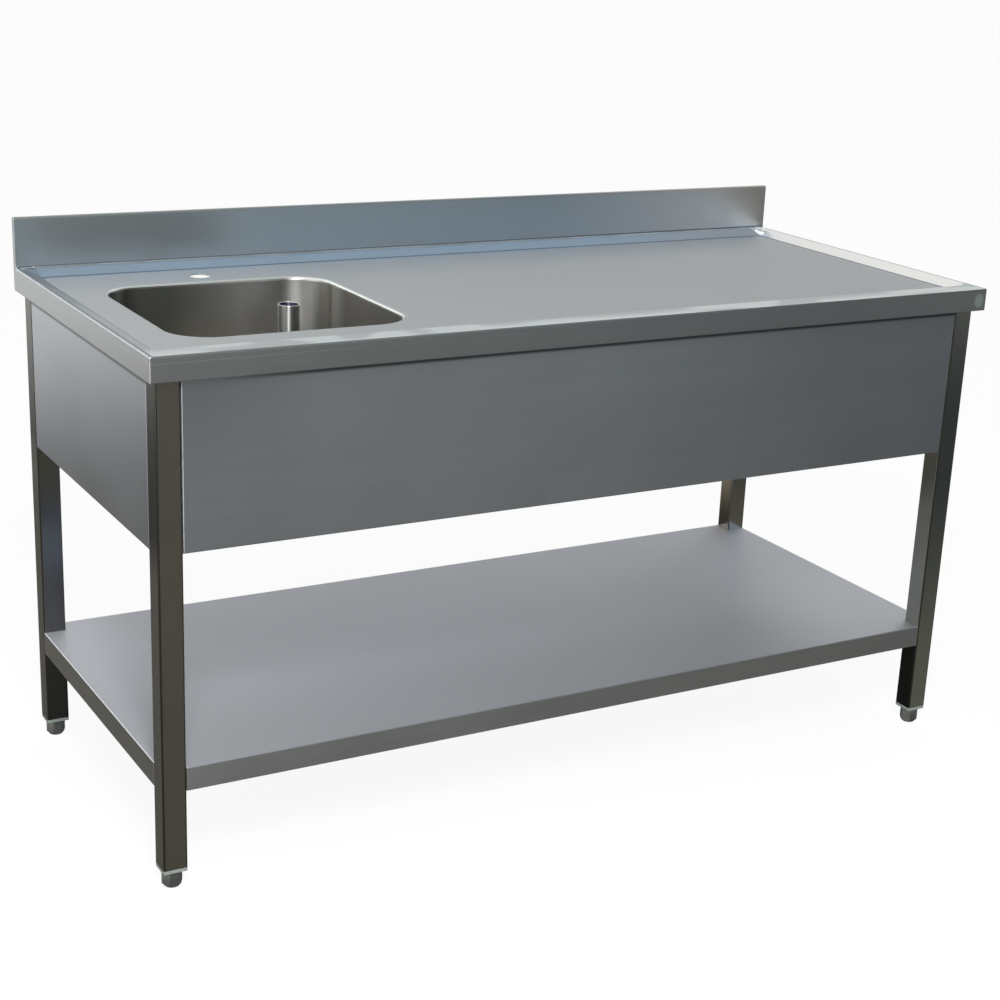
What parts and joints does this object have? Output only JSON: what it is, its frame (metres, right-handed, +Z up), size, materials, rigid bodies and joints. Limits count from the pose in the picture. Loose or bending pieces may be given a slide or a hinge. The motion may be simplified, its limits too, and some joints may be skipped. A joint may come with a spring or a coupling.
{
  "type": "sink table",
  "caption": "Stainless sink table: long dished worktop with splashback, square bowl with standpipe on the left, tap hole, apron panels, tube legs on screw feet and an undershelf.",
  "frame": {"origin": "on the floor under the middle of the worktop", "axes": "+Z up, +X along the table from the bowl's end to the plain end, front towards -Y"},
  "size_m": [1.6, 0.7, 0.962],
  "materials": {
    "worktop_sheet": "brushed along the length",
    "bowl_sheet": "satin, pressed and polished",
    "drain_steel": "polished",
    "standpipe_steel": "polished",
    "rubber": "matt",
    "rail_steel": "mill finish",
    "apron_sheet": "brushed along the length",
    "leg_tube": "brushed along the tube",
    "shelf_sheet": "brushed along the length",
    "foot_steel": "turned and polished",
    "insert_polyamide": "moulded",
    "glide_polyamide": "moulded",
    "fastener_steel": "passivated"
  },
  "bodies": {
    "table": {"worktop": "worktop_sheet", "bowl": "bowl_sheet", "drain_fitting": "drain_steel", "drain_gasket": "rubber", "drain_backnut": "drain_steel", "left_cross_rail": "rail_steel", "right_cross_rail": "rail_steel", "middle_cross_rail": "rail_steel", "rail_bolts": "fastener_steel", "front_apron": "apron_sheet", "left_apron": "apron_sheet", "right_apron": "apron_sheet", "back_rail": "apron_sheet", "apron_bolts": "fastener_steel", "back_rail_bolts": "fastener_steel", "shelf": "shelf_sheet", "shelf_stiffener": "rail_steel", "shelf_bolts": "fastener_steel", "rivet_nuts": "fastener_steel", "front_left_leg": "leg_tube", "front_left_leg_plate": "rail_steel", "front_left_foot_insert": "insert_polyamide", "front_right_leg": "leg_tube", "front_right_leg_plate": "rail_steel", "front_right_foot_insert": "insert_polyamide", "back_left_leg": "leg_tube", "back_left_leg_plate": "rail_steel", "back_left_foot_insert": "insert_polyamide", "back_right_leg": "leg_tube", "back_right_leg_plate": "rail_steel", "back_right_foot_insert": "insert_polyamide"},
    "standpipe": {"standpipe_tube": "standpipe_steel", "standpipe_plug": "rubber"},
    "front_left_pad": {"front_left_glide": "glide_polyamide"},
    "front_left_screw_foot": {"front_left_foot": "foot_steel"},
    "front_right_pad": {"front_right_glide": "glide_polyamide"},
    "front_right_screw_foot": {"front_right_foot": "foot_steel"},
    "back_left_pad": {"back_left_glide": "glide_polyamide"},
    "back_left_screw_foot": {"back_left_foot": "foot_steel"},
    "back_right_pad": {"back_right_glide": "glide_polyamide"},
    "back_right_screw_foot": {"back_right_foot": "foot_steel"}
  },
  "joints": [
    {"name": "standpipe_lift", "type": "slide", "parent": "table", "child": "standpipe", "axis": [0, 0, 1], "range_m": [0, 0.3]},
    {"name": "front_left_foot_travel", "type": "slide", "parent": "table", "child": "front_left_pad", "axis": [0, 0, -1], "range_m": [0, 0.025]},
    {"name": "front_left_foot_turn", "type": "hinge", "parent": "front_left_pad", "child": "front_left_screw_foot", "pos_m": [-0.766, -0.311, 0.03], "axis": [0, 0, -1], "range_deg": [0, 5143]},
    {"name": "front_right_foot_travel", "type": "slide", "parent": "table", "child": "front_right_pad", "axis": [0, 0, -1], "range_m": [0, 0.025]},
    {"name": "front_right_foot_turn", "type": "hinge", "parent": "front_right_pad", "child": "front_right_screw_foot", "pos_m": [0.766, -0.311, 0.03], "axis": [0, 0, -1], "range_deg": [0, 5143]},
    {"name": "back_left_foot_travel", "type": "slide", "parent": "table", "child": "back_left_pad", "axis": [0, 0, -1], "range_m": [0, 0.025]},
    {"name": "back_left_foot_turn", "type": "hinge", "parent": "back_left_pad", "child": "back_left_screw_foot", "pos_m": [-0.766, 0.32, 0.03], "axis": [0, 0, -1], "range_deg": [0, 5143]},
    {"name": "back_right_foot_travel", "type": "slide", "parent": "table", "child": "back_right_pad", "axis": [0, 0, -1], "range_m": [0, 0.025]},
    {"name": "back_right_foot_turn", "type": "hinge", "parent": "back_right_pad", "child": "back_right_screw_foot", "pos_m": [0.766, 0.32, 0.03], "axis": [0, 0, -1], "range_deg": [0, 5143]}
  ],
  "couplings": [
    {"joint": "front_left_foot_turn", "follows": "front_left_foot_travel", "rad_per_m": 3590.4},
    {"joint": "front_right_foot_turn", "follows": "front_right_foot_travel", "rad_per_m": 3590.4},
    {"joint": "back_left_foot_turn", "follows": "back_left_foot_travel", "rad_per_m": 3590.4},
    {"joint": "back_right_foot_turn", "follows": "back_right_foot_travel", "rad_per_m": 3590.4}
  ]
}
